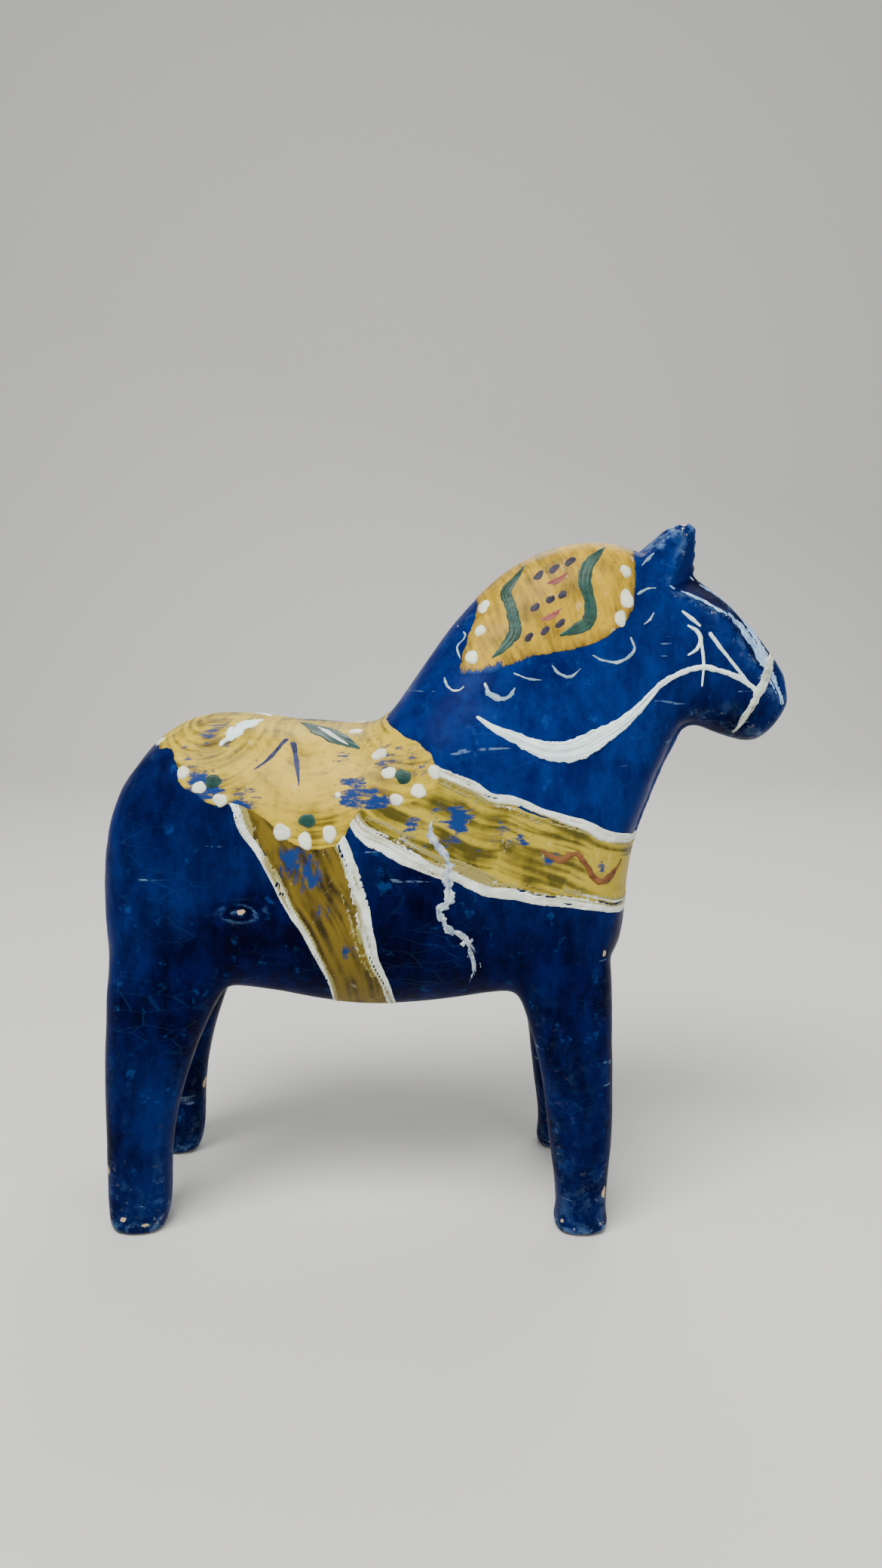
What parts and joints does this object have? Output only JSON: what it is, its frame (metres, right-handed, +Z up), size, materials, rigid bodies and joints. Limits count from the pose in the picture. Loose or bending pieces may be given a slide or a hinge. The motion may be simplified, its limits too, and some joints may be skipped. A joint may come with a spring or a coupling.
{
  "type": "painted wooden folk horse",
  "caption": "Standing wooden horse whittled from one block, with a blue ground coat and painted harness, saddle cloth and mane.",
  "frame": {"origin": "on the floor, under the middle of the horse's length and width", "axes": "+X is the way the horse faces, +Y is its left side, +Z is up"},
  "size_m": [0.1964, 0.0706, 0.1989],
  "materials": {
    "pine": "bare pine, worn and greyed, seen on the soles and in small chips",
    "ground_coat": "ultramarine oil paint, semi-gloss, mottled, with fine cracks and edge wear",
    "mane_yellow": "ochre yellow brushed paint, rubbed thin towards its lower edge",
    "mane_green": "bottle green paint",
    "mane_dark": "dark plum paint",
    "mane_red": "faded rose red paint",
    "mane_white": "thick cream white paint",
    "cloth_yellow": "yellow paint with a pink-beige middle, brush marks and wear",
    "cloth_white": "thick cream white paint",
    "cloth_green": "bottle green paint",
    "leaf_green": "bottle green paint",
    "vein_white": "cream white paint",
    "stroke_white": "cream white paint, broken by dark specks",
    "stroke_blue": "dark blue tapering strokes",
    "girth_yellow": "yellow paint, worn through to blue in patches",
    "girth_white": "cream white brushed edge lines",
    "breast_yellow": "yellow paint, worn through to blue in patches",
    "breast_white": "cream white brushed edge lines",
    "wave_rust": "rust brown wavy line",
    "rein_white": "cream white sweeping brush stroke",
    "bridle_white": "fine cream white lines",
    "noseband_white": "cream white stroke, rubbed olive grey at its lower end",
    "nose_pale_blue": "pale blue dry-brushed paint",
    "curl_white": "thin pale curls",
    "drip_white": "thin worn white line"
  },
  "bodies": {
    "root": {"carved_body": "pine", "blue_ground_coat": "ground_coat", "mane_patch": "mane_yellow", "mane_leaves": "mane_green", "mane_dashes": "mane_dark", "mane_red_touches": "mane_red", "mane_dots": "mane_white", "saddle_cloth": "cloth_yellow", "saddle_cloth_dots": "cloth_white", "saddle_cloth_green_dots": "cloth_green", "saddle_cloth_leaf": "leaf_green", "saddle_cloth_leaf_vein": "vein_white", "saddle_cloth_white_stroke": "stroke_white", "saddle_cloth_blue_strokes": "stroke_blue", "girth_band": "girth_yellow", "girth_edges": "girth_white", "breast_band": "breast_yellow", "breast_band_edges": "breast_white", "breast_band_wave": "wave_rust", "rein_sweep": "rein_white", "bridle_strokes": "bridle_white", "noseband": "noseband_white", "nose_highlight": "nose_pale_blue", "neck_curls": "curl_white", "flank_drip": "drip_white"}
  },
  "joints": []
}
